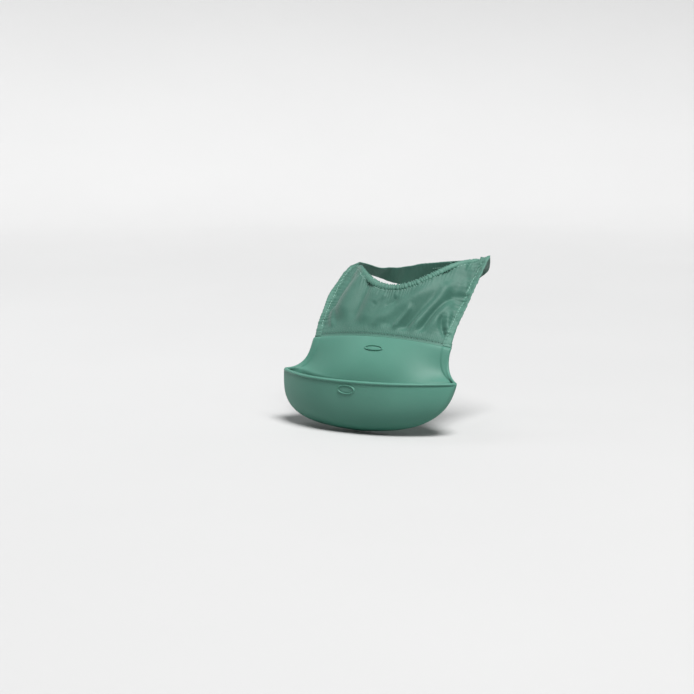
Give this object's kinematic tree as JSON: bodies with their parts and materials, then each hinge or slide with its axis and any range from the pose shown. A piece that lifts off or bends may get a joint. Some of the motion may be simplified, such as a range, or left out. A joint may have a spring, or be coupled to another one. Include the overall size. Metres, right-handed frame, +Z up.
{
  "type": "baby bib",
  "caption": "Baby bib with a gathered fabric yoke, straps closing behind the neck, and a moulded silicone panel with an open catch pocket.",
  "frame": {"origin": "centre of the neck opening", "axes": "+Z up as worn, the front faces -Y, +X is the wearer's left"},
  "size_m": [0.1993, 0.2137, 0.1654],
  "materials": {
    "silicone": "satin",
    "yoke_fabric": "coated, satin sheen",
    "thread": "matte",
    "elastic": "matte",
    "label": "matte",
    "closure": "fuzzy"
  },
  "bodies": {
    "yoke": {"front_fabric": "yoke_fabric", "neck_casing": "yoke_fabric", "neck_elastic": "elastic", "casing_stitching": "thread", "hem_left": "yoke_fabric", "hem_right": "yoke_fabric", "hem_stitching_left": "thread", "hem_stitching_right": "thread", "care_label": "label"},
    "panel": {"back_panel": "silicone", "pocket_side_left": "silicone", "pocket_side_right": "silicone", "panel_oval": "silicone", "seam_band": "yoke_fabric", "seam_stitching": "thread"},
    "pocket": {"pocket_front": "silicone", "pocket_oval": "silicone"},
    "strap_l": {"strap_left": "yoke_fabric", "hook_patch": "closure", "hook_stitching": "thread"},
    "strap_r": {"strap_right": "yoke_fabric", "loop_patch": "closure", "loop_stitching": "thread"}
  },
  "joints": [
    {"name": "seam_fold", "type": "hinge", "parent": "yoke", "child": "panel", "pos_m": [0, -0.0826, -0.0534], "axis": [-1, 0, 0], "range_deg": [0, 120]},
    {"name": "pocket_press", "type": "hinge", "parent": "panel", "child": "pocket", "pos_m": [0, -0.121, -0.1505], "axis": [-1, 0, 0], "range_deg": [0, 22], "stiffness_Nm_per_rad": 0.03, "deforming": ["pocket_side_left", "pocket_side_right"]},
    {"name": "strap_left_open", "type": "hinge", "parent": "yoke", "child": "strap_l", "pos_m": [0.077, 0.001, 0.01], "axis": [0, 0, -1], "range_deg": [0, 70]},
    {"name": "strap_right_open", "type": "hinge", "parent": "yoke", "child": "strap_r", "pos_m": [-0.077, 0.001, -0.005], "axis": [0, 0, 1], "range_deg": [0, 40]}
  ],
  "couplings": [
    {"joint": "strap_right_open", "follows": "strap_left_open", "ratio": 0.45}
  ]
}
